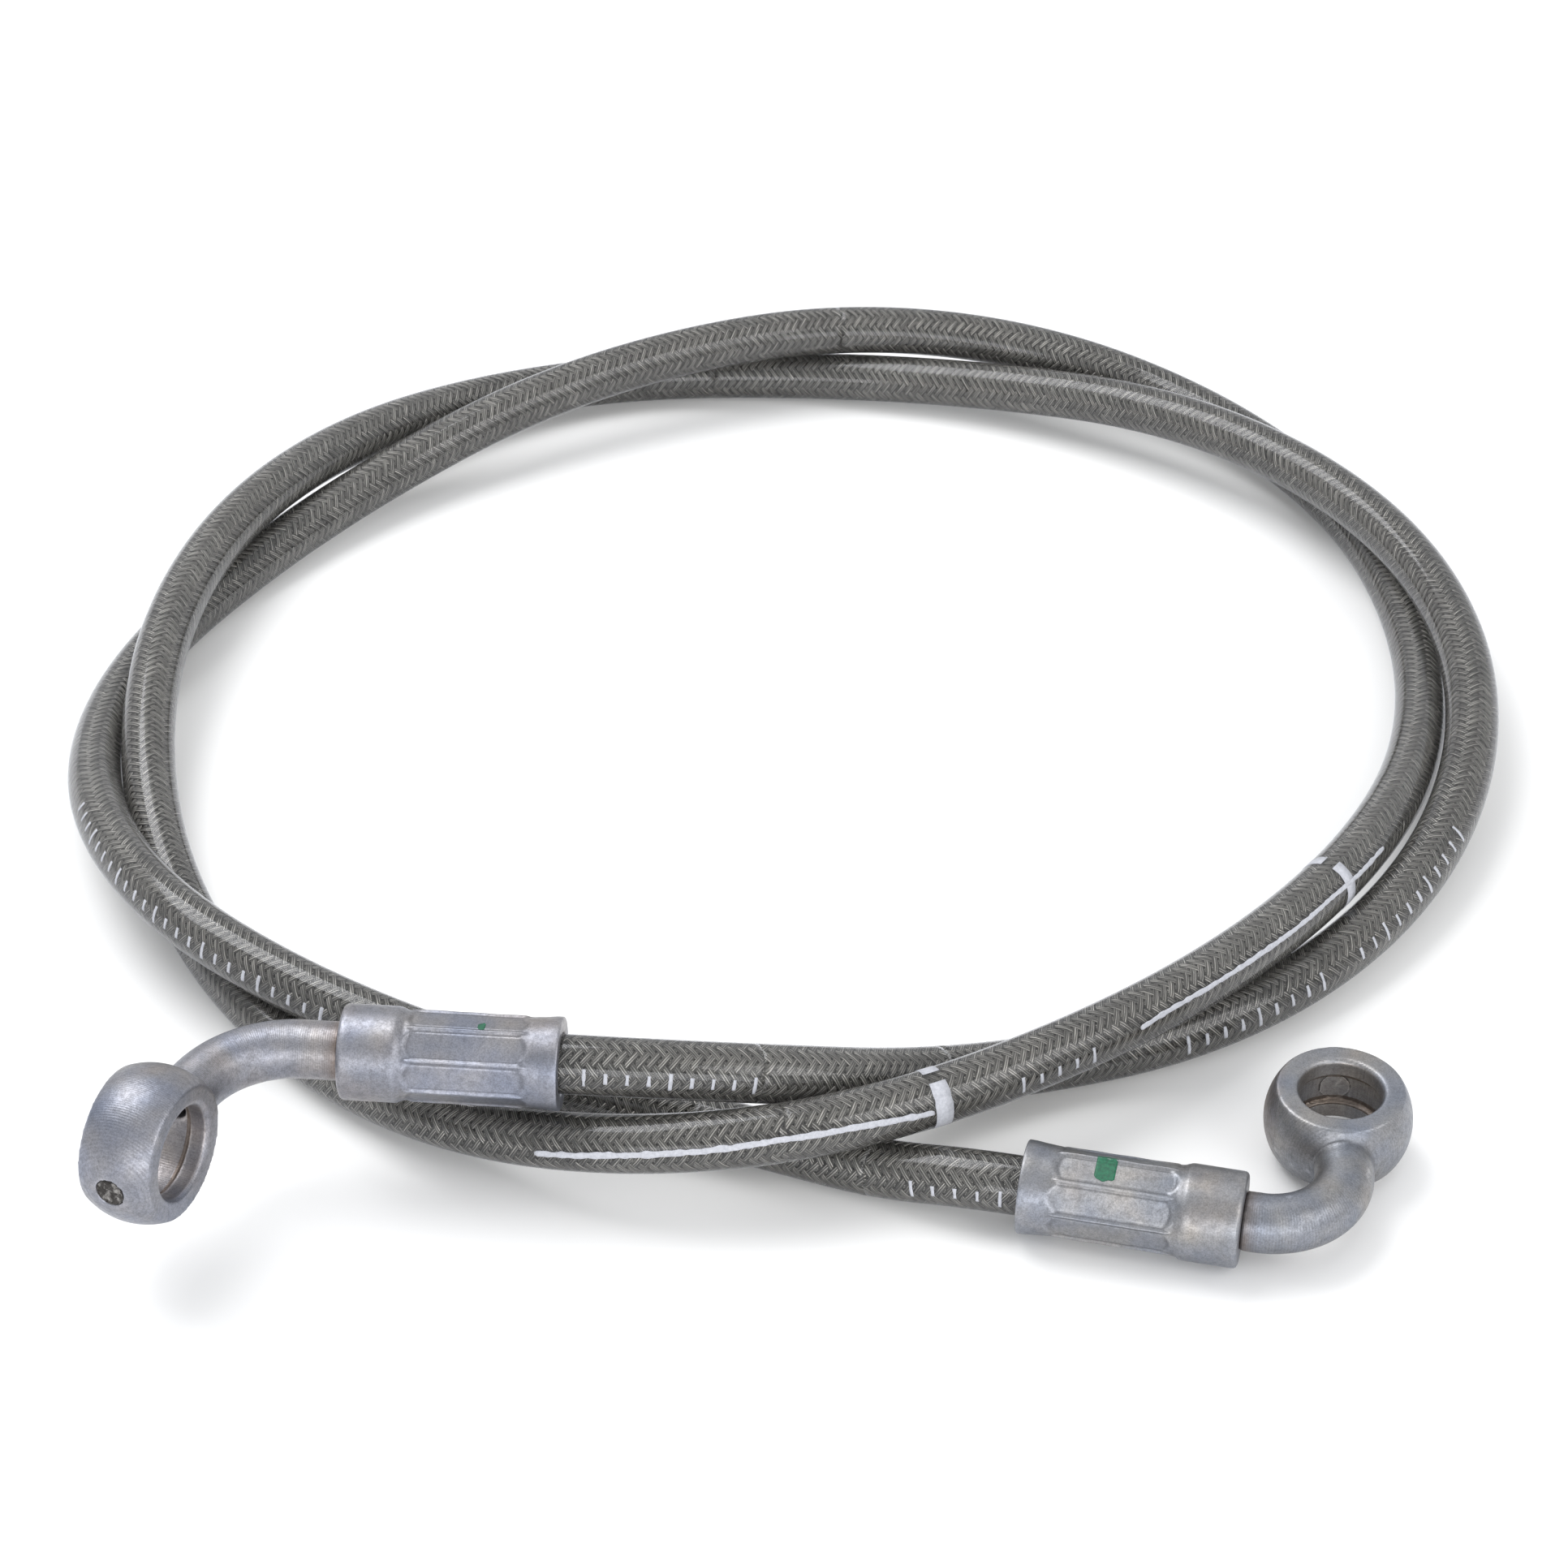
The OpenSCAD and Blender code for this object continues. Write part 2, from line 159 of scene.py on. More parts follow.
STATIONS = np.arange(0, TOTAL + SAMPLE_STEP / 2, SAMPLE_STEP)
CENTRES, TANGENTS = (np.array(column) for column in zip(*[at(s) for s in STATIONS]))
NORMALS = untwisted_normals(TANGENTS)
BINORMALS = np.cross(TANGENTS, NORMALS)


def sampled(values, station):
    """values given at STATIONS, read between the samples"""
    x = np.clip(np.asarray(station, float) / SAMPLE_STEP, 0, len(STATIONS) - 1.001)
    i = x.astype(int)
    part = (x - i)[..., None]
    return values[i] * (1 - part) + values[i + 1] * part


def on_hose(station, angle, radius):
    """points in metres at a station, an angle round the hose and a radius"""
    station, angle, radius = np.broadcast_arrays(np.asarray(station, float), angle, radius)
    outward = (np.cos(angle)[..., None] * sampled(NORMALS, station)
               + np.sin(angle)[..., None] * sampled(BINORMALS, station))
    return (sampled(CENTRES, station) + radius[..., None] * outward) * MM


# stations where the hose's bodies meet, as in the CAD
END_B, MID_B_START, MID_B_END, COIL_START = GRIP + 3, GRIP + 17, GRIP + 20, GRIP + 34
END_A, MID_A_END = TOTAL - GRIP - 5, TOTAL - GRIP - 21
MID_A_START, COIL_END = TOTAL - GRIP - 25, TOTAL - GRIP - 41
CUT_B = (MID_B_START + MID_B_END) / 2
CUT_A = (MID_A_START + MID_A_END) / 2
# piece: from, to, bodies it lies between (or rides on), bend zone
SECTIONS = {
    "b2": (0.6, CUT_B, ("end_b", "mid_b"), (END_B, MID_B_START)),
    "b1": (CUT_B, COIL_START + 7, ("mid_b", "coil"), (MID_B_END, COIL_START)),
    "c1": (COIL_START + 7, 335.0, ("coil",), None),
    "c2": (335.0, 612.0, ("coil",), None),
    "c3": (612.0, 885.0, ("coil",), None),
    "c4": (885.0, COIL_END - 7, ("coil",), None),
    "a1": (COIL_END - 7, CUT_A, ("coil", "mid_a"), (COIL_END, MID_A_START)),
    "a2": (CUT_A, TOTAL - 0.6, ("mid_a", "end_a"), (MID_A_END, END_A))}
# CAD parts, after the layer's name, that a piece stands in for
REPLACED = {
    "b2": ("end_b", "bend_b2"), "b1": ("mid_b", "bend_b1"), "c1": ("coil",),
    "a1": ("bend_a1", "mid_a"), "a2": ("bend_a2", "end_a")}


def attach(obj, piece):
    """ties an object to the body of its piece of hose when it has one; for a piece between two
    bodies it only bakes the object's transform
    """
    _, _, bodies, zone = SECTIONS[piece]
    if len(bodies) == 1:
        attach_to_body(obj, bodies[0])
    else:
        start, end = (tuple(float(v) for v in at(s)[0] * MM) for s in zone)
        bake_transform(obj)


# ------------------------------------------------------------------ mesh helpers
def mesh_object(name, verts, quads, materials, uv=None, smooth=True, slots=None):
    """object from vertices in metres and quads; slots gives each face's material"""
    mesh = bpy.data.meshes.new(name)
    verts = np.ascontiguousarray(verts, dtype=np.float32)
    quads = np.ascontiguousarray(quads, dtype=np.int32)
    mesh.vertices.add(len(verts))
    mesh.vertices.foreach_set("co", verts.ravel())
    mesh.loops.add(quads.size)
    mesh.loops.foreach_set("vertex_index", quads.ravel())
    mesh.polygons.add(len(quads))
    mesh.polygons.foreach_set("loop_start", np.arange(0, quads.size, 4, dtype=np.int32))
    if slots is not None:
        mesh.polygons.foreach_set("material_index", np.ascontiguousarray(slots, dtype=np.int32))
    smooth = np.broadcast_to(np.asarray(smooth, bool), (len(quads),)).copy()
    mesh.polygons.foreach_set("use_smooth", smooth)
    if uv is not None:
        layer = mesh.uv_layers.new(name="UVMap")
        corners = np.ascontiguousarray(uv[quads.ravel()], dtype=np.float32)
        layer.data.foreach_set("uv", corners.ravel())
    mesh.update(calc_edges=True)
    mesh.validate()
    obj = bpy.data.objects.new(name, mesh)
    bpy.context.scene.collection.objects.link(obj)
    for material in materials:
        mesh.materials.append(material)
    return obj


def grid_quads(rows, cols, base=0, wrap=True):
    """quads of a grid of rows x cols vertices, wrapped round the columns"""
    r = np.arange(rows - 1)[:, None]
    c = np.arange(cols if wrap else cols - 1)[None, :]
    d = (c + 1) % cols
    quads = [r * cols + c, r * cols + d, (r + 1) * cols + d, (r + 1) * cols + c]
    return np.stack(quads, -1).reshape(-1, 4) + base


def angles_round(count):
    return np.arange(count) * TURN / count


def ragged(count, amount, seed):
    """lightly smoothed random offsets for an uneven edge"""
    draws = np.random.default_rng(seed).standard_normal(count)
    return amount * np.convolve(draws, [0.25, 0.5, 0.25], "same")


def smoothstep(low, high, x):
    t = np.clip((x - low) / (high - low), 0, 1)
    return t * t * (3 - 2 * t)


def hollow(name, start, end, outer_radius, inner_radius, step, around, materials):
    """closed hollow length of hose: two walls, and two ring ends in the second material"""
    rows = max(2, int(math.ceil((end - start) / step)) + 1)
    stations = np.linspace(start, end, rows)[:, None]
    angles = angles_round(around)[None, :]
    walls = [on_hose(stations, angles, r).reshape(-1, 3) for r in (outer_radius, inner_radius)]
    inner = rows * around           # first vertex of the inner wall
    last = (rows - 1) * around      # first vertex of a wall's last ring
    c = np.arange(around)
    d = (c + 1) % around
    start_ring = np.stack([inner + c, inner + d, d, c], -1)
    end_ring = last + np.stack([inner + d, inner + c, c, d], -1)
    quads = np.vstack([grid_quads(rows, around), grid_quads(rows, around, base=inner)[:, ::-1],
                       start_ring, end_ring])
    slots = np.zeros(len(quads))
    slots[-2 * around:] = 1
    uv = np.stack(np.broadcast_arrays(stations / 100, angles / TURN), -1).reshape(-1, 2)
    return mesh_object(name, np.vstack(walls), quads, materials, np.vstack([uv, uv]),
                       smooth=slots == 0, slots=slots)


def braid(name, start, end, material):
    """24 flat ribbons of wire, two over and two under"""
    step = BRAID_PITCH / 48
    marks = np.arange(math.ceil(start / step), math.floor(end / step) + 1) * step
    marks = marks[(marks > start + 0.25 * step) & (marks < end - 0.25 * step)]
    s = np.concatenate([[start], marks, [end]])
    rows = len(s)
    half_angle = 0.475 * TURN / CARRIERS
    # ribbon profile: place across (-1 to 1), height below the top, u
    profile = [(-1.0, -0.13, 0.0), (-0.45, 0.0, 0.275), (0.45, 0.0, 0.725), (1.0, -0.13, 1.0)]
    verts, quads, uvs, smooth = [], [], [], []
    base = 0
    crossing = s / (BRAID_PITCH / 24)
    for hand, first_u in ((1, 0), (-1, 20)):
        for i in range(CARRIERS):
            phase = crossing + 2 * i - 0.5 if hand > 0 else crossing - 2 * i + 2.5
            weave = np.tanh(2.2 * np.cos(phase * math.pi / 2)) / math.tanh(2.2)
            top = 2.965 + 0.10 * weave
            middle = TURN * i / CARRIERS + hand * TURN * s / BRAID_PITCH
            lines = [on_hose(s, middle + x * half_angle, top + dz) for x, dz, _ in profile]
            verts.append(np.stack(lines, 1).reshape(-1, 3))
            lines = [np.stack([np.full(rows, u + i + first_u), s / 10], -1) for _, _, u in profile]
            uvs.append(np.stack(lines, 1).reshape(-1, 2))
            sides = grid_quads(rows, 4, base=base)[:, ::-1]
            last = base + (rows - 1) * 4
            ends = [[base, base + 1, base + 2, base + 3], [last + 3, last + 2, last + 1, last]]
            quads += [sides, np.array(ends)]
            smooth += [True] * len(sides) + [False, False]
            base += rows * 4
    return mesh_object(name, np.vstack(verts), np.vstack(quads), [material], np.vstack(uvs),
                       smooth=np.array(smooth))


# ------------------------------------------------------------------ shader helpers
class Shader:
    """a new node material, with short ways to add and link its nodes"""

    def __init__(self, name):
        self.material = bpy.data.materials.new(name)
        self.material.use_nodes = True
        self.tree = self.material.node_tree
        self.tree.nodes.clear()
        self.output = self.node("OutputMaterial")

    def put(self, socket, value):
        """links a socket or a node's first output, or sets a plain value"""
        if isinstance(value, bpy.types.Node):
            value = value.outputs[0]
        if isinstance(value, bpy.types.NodeSocket):
            self.tree.links.new(value, socket)
        elif socket.type == "RGBA":
            socket.default_value = (*value, 1.0)
        else:
            socket.default_value = value

    def node(self, kind, inputs=None, **settings):
        node = self.tree.nodes.new("ShaderNode" + kind)
        for key, value in settings.items():
            setattr(node, key, value)
        for key, value in (inputs or {}).items():
            self.put(node.inputs[key], value)
        return node

    def math(self, operation, a, b=None, clamp=False):
        inputs = {0: a} if b is None else {0: a, 1: b}
        return self.node("Math", inputs, operation=operation, use_clamp=clamp)

    def times(self, a, b, clamp=False):
        return self.math("MULTIPLY", a, b, clamp)

    def plus(self, a, b):
        return self.math("ADD", a, b)

    def mix(self, blend, factor, a, b):
        return self.node("MixRGB", {0: factor, 1: a, 2: b}, blend_type=blend)

    def noise(self, vector, scale, detail=3.0, roughness=0.55):
        inputs = {"Scale": scale, "Detail": detail, "Roughness": roughness, "Vector": vector}
        return self.node("TexNoise", inputs).outputs["Fac"]

    def ramp(self, factor, *stops):
        """colour ramp from (position, colour or grey) stops"""
        node = self.node("ValToRGB", {"Fac": factor})
        elements = node.color_ramp.elements
        while len(elements) < len(stops):
            elements.new(0.5)
        for element, (position, colour) in zip(elements, stops):
            if isinstance(colour, float):
                colour = (colour,) * 3
            element.position = position
            element.color = (*colour, 1.0)
        return node

    def bump(self, height, strength, distance):
        """distance in metres"""
        return self.node("Bump", {"Strength": strength, "Distance": distance, "Height": height})

    def offset(self, vector, origin):
        return self.node("VectorMath", {0: vector, 1: Vector(origin)}, operation="SUBTRACT")

    def dot(self, vector, axis):
        inputs = {0: vector, 1: Vector(axis)}
        return self.node("VectorMath", inputs, operation="DOT_PRODUCT").outputs["Value"]

    def position(self):
        return self.node("NewGeometry").outputs["Position"]

    def finish(self, surface):
        self.put(self.output.inputs["Surface"], surface)
        return self.material


def mottled_material(name, dark, pale, roughness, scale, span, detail=4, grain=0.7,
                     bump=(0.3, 0.00005)):
    """two tones mixed by noise; bump is (strength, distance in metres) or None"""
    g = Shader(name)
    mottle = g.noise(g.position(), scale, detail, grain)
    colour = g.ramp(mottle, (span[0], dark), (span[1], pale))
    inputs = {"Base Color": colour, "Roughness": roughness}
    if bump:
        inputs["Normal"] = g.bump(mottle, *bump)
    return g.finish(g.node("BsdfPrincipled", inputs))


# ------------------------------------------------------------------ hose materials
def jacket_material():
    g = Shader("clear_jacket")
    place = g.position()
    broad = g.noise(place, scale=60, detail=2)
    fine = g.noise(place, scale=900, detail=4)
    normal = g.bump(g.plus(broad, g.times(fine, 0.12)), strength=0.10, distance=0.0002)
    tint = g.ramp(broad, (0.3, (0.80, 0.79, 0.77)), (0.7, (0.86, 0.855, 0.84)))
    refraction = g.node("BsdfRefraction", {"Color": tint, "IOR": 1.45, "Roughness": 0.03,
                                           "Normal": normal})
    roughness = g.ramp(fine, (0.35, 0.06), (0.75, 0.22))
    gloss = g.node("BsdfAnisotropic", {"Color": (0.95, 0.96, 1.0), "Roughness": roughness,
                                       "Normal": normal})
    fresnel = g.node("Fresnel", {"IOR": 1.45, "Normal": normal})
    clear = g.node("MixShader", {0: fresnel, 1: refraction, 2: gloss})
    # what lights the braid passes straight through the jacket
    ray = g.node("LightPath").outputs
    through = g.math("MAXIMUM", ray["Is Shadow Ray"], ray["Is Diffuse Ray"])
    unseen = g.node("BsdfTransparent", {"Color": (0.86, 0.86, 0.85)})
    return g.finish(g.node("MixShader", {0: through, 1: clear, 2: unseen}))


def seam_material():
    """the seam between two lengths of one jacket: unseen"""
    g = Shader("jacket_seam")
    return g.finish(g.node("BsdfTransparent"))


def braid_material():
    g = Shader("wire_braid")
    uv = g.node("SeparateXYZ", {0: g.node("UVMap")})
    across, along = uv.outputs[0], uv.outputs[1]
    # four wires to a ribbon
    wires = g.math("ABSOLUTE", g.math("SINE", g.times(across, math.pi * 4)))
    # each wire has its own tone, and the tone drifts along it
    wire = g.math("FLOOR", g.times(across, 4.0))
    drift = g.node("CombineXYZ", {0: wire, 1: g.times(along, 2.4)})
    tone = g.node("TexNoise", {"Scale": 1.7, "Detail": 2.0, "Vector": drift}).outputs["Fac"]
    # painted highlight: the wires' crests are coloured light, more where the tone runs high; the
    # rest keeps the dark base colour
    painted_highlight_crest = g.math("POWER", wires, 2.5)
    painted_highlight_strength = g.times(g.math("SUBTRACT", tone, 0.28, clamp=True), 2.4)
    amount = g.times(painted_highlight_crest, painted_highlight_strength, clamp=True)
    broad = g.noise(g.position(), scale=45, detail=2)
    dark = g.ramp(broad, (0.35, (0.112, 0.111, 0.109)), (0.7, (0.152, 0.150, 0.145)))
    painted_highlight_colour = g.ramp(tone, (0.3, (0.37, 0.366, 0.356)), (0.75, (0.64, 0.63, 0.605)))
    return g.finish(g.node("BsdfPrincipled", {
        "Base Color": g.mix("MIX", amount, dark, painted_highlight_colour),
        "Metallic": 0.65,
        "Roughness": g.ramp(tone, (0.3, 0.38), (0.7, 0.55)),
        "Normal": g.bump(wires, strength=0.7, distance=0.00008)}))


# ------------------------------------------------------------------ zinc materials
ZINC_TONE = 0.70
BLUE_TINT = {"a": 0.022, "b": 0.0}      # added to the blue of each end's metal


def zinc_noises(g, place):
    """broad clouds, small pits and fine grain"""
    return (g.noise(place, scale=170), g.noise(place, scale=1500, detail=5, roughness=0.65),
            g.noise(place, scale=5200, detail=3, roughness=0.7))


def line_noise(g, place):
    """random lines at a place counted in line widths"""
    inputs = {"Scale": 1.0, "Detail": 2.0, "W": place}
    return g.node("TexNoise", inputs, noise_dimensions="1D").outputs["Fac"]


def zinc_colour(g, geometry, place, noises, lines, line_amount, tint):
    clouds, pits, grain = noises
    # cloud stops: position, red, green, blue
    stops = [(0.30, 0.325, 0.342, 0.380), (0.50, 0.405, 0.408, 0.428), (0.70, 0.472, 0.458, 0.446)]
    colour = g.ramp(clouds, *[
        (stop, (red * ZINC_TONE, green * ZINC_TONE, (blue + tint) * ZINC_TONE))
        for stop, red, green, blue in stops])
    # the passivated film turns a little pink, straw or blue in places
    film = g.ramp(g.noise(place, scale=95, detail=2), (0.40, (0.88, 0.95, 1.10)),
                  (0.52, 1.0), (0.64, (1.10, 1.0, 0.90)))
    colour = g.mix("MULTIPLY", 0.5, colour, film)
    colour = g.mix("MULTIPLY", 0.5, colour, g.ramp(pits, (0.30, 0.55), (0.56, 1.0)))
    colour = g.mix("MULTIPLY", 0.8, colour, g.ramp(grain, (0.36, 0.72), (0.62, 1.12)))
    colour = g.mix("MULTIPLY", line_amount, colour, g.ramp(lines, (0.25, 0.58), (0.7, 1.0)))
    # worn edges show brighter, and hollows are darkened as painted shade
    edge = g.ramp(geometry.outputs["Pointiness"], (0.46, 0.50), (0.50, 0.95), (0.57, 1.45))
    return g.mix("MULTIPLY", 0.75, colour, edge)


def zinc_finish(g, colour, noises, line_relief):
    _, pits, grain = noises
    height = g.plus(line_relief, g.plus(g.times(pits, 0.6), g.times(grain, 0.5)))
    return g.finish(g.node("BsdfPrincipled", {
        "Base Color": colour,
        "Metallic": 0.86,
        "Roughness": g.ramp(pits, (0.3, 0.48), (0.7, 0.33)),
        "Normal": g.bump(height, strength=0.45, distance=0.00006)}))


def ferrule_zinc(which, fit):
    """satin zinc with faint turning lines round the ferrule's axis"""
    line_width, line_strength = 0.5, 0.20
    g = Shader("zinc_ferrule_" + which)
    geometry = g.node("NewGeometry")
    place = g.node("TexCoord").outputs["Object"]
    axis = Vector(fit.out).normalized()
    across = axis.orthogonal().normalized()
    offset = g.offset(place, fit.mouth * MM)
    x, y, z = (g.dot(offset, v) for v in (across, axis.cross(across), axis))
    radius = g.math("SQRT", g.plus(g.times(x, x), g.times(y, y)))
    along = g.plus(z, g.times(radius, 0.8))
    lines = line_noise(g, g.times(along, 1000.0 / line_width))
    noises = zinc_noises(g, place)
    colour = zinc_colour(g, geometry, place, noises, lines, 0.5 * line_strength, BLUE_TINT[which])
    return zinc_finish(g, colour, noises, g.times(lines, line_strength))


def mouth_bloom(g, place, fit, clouds, colour):
    """brown bloom where the neck leaves the ferrule, fading along the neck"""
    start, fade = 0.0258, 0.003     # metres
    z = g.dot(g.offset(place, fit.mouth * MM), fit.out)
    past = g.times(g.math("SUBTRACT", z, start), 1 / fade)
    bloom = g.ramp(past, (0.0, 1.0), (0.45, 0.35), (0.8, 0.0))
    amount = g.times(bloom, g.times(clouds, 1.3), clamp=True)
    return g.mix("MIX", amount, colour, (0.17, 0.105, 0.055))


def bore_tint_and_painted_light(g, place, fit, colour):
    """warmer, brighter bore with a brown line in the oil groove; the brightening is painted light
    """
    centre = fit.eye * MM
    height = g.math("ABSOLUTE", g.dot(g.offset(place, centre), fit.axis))
    inputs = {0: g.offset(place, centre)}
    distance = g.node("VectorMath", inputs, operation="LENGTH").outputs["Value"]
    square = g.math("SUBTRACT", g.times(distance, distance), g.times(height, height))
    # metres: wall depth that counts as bore, its half height, the line's height and half width
    inside = g.math("LESS_THAN", g.math("SQRT", square), (fit.bore / 2 + 0.95) * MM)
    low = g.math("LESS_THAN", height, 0.0042)
    from_line = g.math("ABSOLUTE", g.math("SUBTRACT", height, 0.0019))
    groove = g.times(g.times(inside, low), g.math("LESS_THAN", from_line, 0.00045))
    # painted light: the inside of the bore is tinted warm and made brighter than the zinc around
    # it
    warm_and_painted_light = g.times(g.times(inside, low), 0.9)
    colour = g.mix("MULTIPLY", warm_and_painted_light, colour, (1.42, 1.36, 1.29))
    return g.mix("MIX", g.times(groove, 0.65), colour, (0.12, 0.08, 0.05))


def banjo_zinc(which, fit):
    """satin zinc with turning lines across the centreline, which the mesh carries"""
    line_width, wave_length, line_strength = 0.42, 0.27, 0.50
    g = Shader("zinc_banjo_" + which)
    geometry = g.node("NewGeometry")
    place = g.node("TexCoord").outputs["Object"]
    along = g.node("Attribute", attribute_name="turned").outputs["Fac"]
    sine = g.math("SINE", g.times(along, TURN / wave_length))
    waves = g.plus(g.times(sine, 0.5), 0.5)
    random_lines = line_noise(g, g.times(along, 1.0 / line_width))
    lines = g.plus(g.times(waves, 0.55), g.times(random_lines, 0.45))
    # the machined sealing faces carry fewer lines
    facing_axis = g.math("ABSOLUTE", g.dot(geometry.outputs["Normal"], fit.axis))
    keep = g.ramp(facing_axis, (0.93, 1.0), (0.985, 0.12))
    noises = zinc_noises(g, place)
    colour = zinc_colour(g, geometry, place, noises, lines, g.times(keep, 0.5 * line_strength),
                         BLUE_TINT[which])
    colour = mouth_bloom(g, place, fit, noises[0], colour)
    colour = bore_tint_and_painted_light(g, place, fit, colour)
    return zinc_finish(g, colour, noises, g.times(g.times(lines, line_strength), keep))


# ------------------------------------------------------------------ camera
def add_camera():
    data = bpy.data.cameras.new("camera")
    data.sensor_width = 36.0
    data.lens = 91.8447205
    data.clip_start = 0.01
    data.clip_end = 10.0
    camera = bpy.data.objects.new("camera", data)
    camera.location = Vector(CAMERA * MM)
    camera.rotation_euler = (math.pi / 2 - ELEVATION, 0.0, 0.0)
    bpy.context.scene.collection.objects.link(camera)
    bpy.context.scene.camera = camera


add_camera()


# ------------------------------------------------------------------ hose
def build_hose():
    jacket_looks = (jacket_material(), seam_material())
    wire = braid_material()
    liner = mottled_material("liner_tube", (0.72, 0.72, 0.69), (0.84, 0.84, 0.82), roughness=0.42,
                             scale=300, span=(0.3, 0.7), detail=3, grain=0.55,
                             bump=(0.15, 0.0001))
    layers = {}
    for piece, (start, end, _, zone) in SECTIONS.items():
        jacket_step = 0.9 if zone is None else 0.6
        jacket = hollow("jacket_" + piece, start, end, JACKET_OUTER, JACKET_INNER,
                        jacket_step, 48, jacket_looks)
        wires = braid("braid_" + piece, start, end, wire)
        backing = hollow("backing_" + piece, start, end, BACKING_OUTER, BACKING_INNER,
                         2.0, 24, (wire, wire))
        tube = hollow("liner_" + piece, start, end, LINER_OUTER, LINER_INNER,
                      2.0, 24, (liner, liner))
        layers[piece] = {"jacket": jacket, "braid": wires, "liner": tube}
        for obj, slot in ((jacket, "jacket"), (wires, "braid"), (backing, "braid"),
                          (tube, "liner")):
            attach(obj, piece)
    for piece, parts in REPLACED.items():
        for layer, obj in layers[piece].items():
            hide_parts(*[layer + "_" + part for part in parts])


build_hose()


# ------------------------------------------------------------------ fittings
def fitting_frame(mouth, out, neck, radius, bend, reach, ball, bore, flat):
    """places on a fitting: out of the ferrule, round the neck's left bend and on to the eye

    neck is the straight part past the ferrule, reach runs from the bend to the eye's centre,
    ball and bore are diameters, and flat says whether the eye's axis is upright
    """
    bend = math.radians(bend)
    left = np.cross(UP, out)
    bend_start = mouth + (FERRULE_LENGTH + 0.05 + neck) * out
    bend_end = bend_start + radius * (math.sin(bend) * out + (1 - math.cos(bend)) * left)
    eye_out = math.cos(bend) * out + math.sin(bend) * left
    return SimpleNamespace(
        mouth=mouth, out=out, left=left, side=np.cross(out, UP), radius=radius, bend=bend,
        bend_start=bend_start, bend_end=bend_end, eye_out=eye_out,
        eye=bend_end + reach * eye_out, axis=UP if flat else np.cross(UP, eye_out),
        ball=ball, bore=bore)


FITTINGS = {
    "a": fitting_frame(at(TOTAL - GRIP)[0], ARCS[-1][1], neck=4.6, radius=12.5, bend=73.0,
                       reach=9.4, ball=18.6, bore=11.1, flat=False),
    "b": fitting_frame(at(GRIP)[0], -ARCS[0][1], neck=1.6, radius=9.0, bend=101.0,
                       reach=9.8, ball=17.8, bore=10.1, flat=True)}
FLAT_PHASE = {"a": 1.3, "b": 4.1}       # sets each ferrule's unevenness apart

# stations of the ferrule's shaped outer skin, from its mouth
FERRULE_Z = np.concatenate([
    np.linspace(0.22, 3.6, 16), np.linspace(3.8, 18.2, 66),
    np.linspace(18.4, 19.6, 9), np.linspace(19.9, 25.3, 14)])
# round profile before crimping (station, radius): flared mouth, barrel, collar
FERRULE_PROFILE = [
    (0.0, 5.55), (0.22, 5.55), (0.9, 5.54), (1.3, 5.50), (2.2, 5.40), (3.3, 5.33), (3.6, 5.30),
    (18.2, 5.30), (18.5, 5.33), (19.3, 5.66), (19.6, 5.70), (26, 5.70)]
FERRULE_HOLE = 3.59
# plain rings (radius, station) before the skin, then after it round the end and back inside
FERRULE_HEAD = [(5.44, 0.03), (5.52, 0.10)]
FERRULE_TAIL = [
    (5.66, 25.62), (5.52, 25.85), (5.28, 25.97), (4.9, 26.0), (3.7, 26.0), (3.08, 26.0),
    (3.05, 25.9), (3.05, 24.3), (3.1, 24.2), (4.2, 24.2), (4.2, 19.3), (FERRULE_HOLE, 19.3),
    (FERRULE_HOLE, 12.0), (FERRULE_HOLE, 4.0), (FERRULE_HOLE, 0.4), (FERRULE_HOLE + 0.1, 0.12),
    (FERRULE_HOLE + 0.4, 0.0), (4.6, 0.0), (5.3, 0.0)]


def crimped_radii(z, angle, phase):
    """radius of the ferrule's skin, crimped by eight dies between the mouth and the collar"""
    eighth = math.pi / 4
    radius = np.interp(z, *zip(*FERRULE_PROFILE))
    off = (angle - math.radians(11) + eighth / 2) % eighth - eighth / 2     # from flat's middle
    flat = 4.98 / np.cos(off)
    bow = 0.9 * (np.abs(off) / math.radians(20)) ** 2
    window = (smoothstep(3.5 + bow, 4.2 + bow, z)
              * (1 - smoothstep(17.8 - bow, 18.35 - bow, z)))
    # soft corner between a flat and the ridge beside it
    soft = 0.035
    share = np.clip(0.5 + 0.5 * (radius - flat) / soft / 2, 0, 1)
    low = radius * (1 - share) + flat * share - soft * share * (1 - share)
    radius = radius * (1 - window) + np.minimum(radius, low) * window
    # a thin fin of metal stands between the dies, with a shallow furrow beside it
    gap = np.abs(eighth / 2 - np.abs(off)) * 5.3
    fin = 0.19 + 0.04 * np.sin(5 * angle + 1.0) + 0.02 * np.sin(z * 1.3 + 2 * angle)
    fin_window = smoothstep(3.6, 4.6, z) * (1 - smoothstep(17.6, 18.3, z))
    radius = radius + fin * np.exp(-(gap / 0.16) ** 2) * fin_window
    radius = radius - 0.07 * np.exp(-((gap - 0.42) / 0.15) ** 2) * window
    # the dies leave the flats a little hollow and uneven
    uneven = 0.6 + 0.4 * np.sin(z * 0.9 + phase + 3 * angle)
    radius = radius - window * 0.03 * np.cos(off * 4) * uneven
    slow = np.sin(3 * angle + z * 0.31 + phase) * np.clip(z / 4, 0, 1) * (z < 19)
    return radius + 0.012 * slow + 0.006 * np.sin(7 * angle - z * 0.8 + phase)


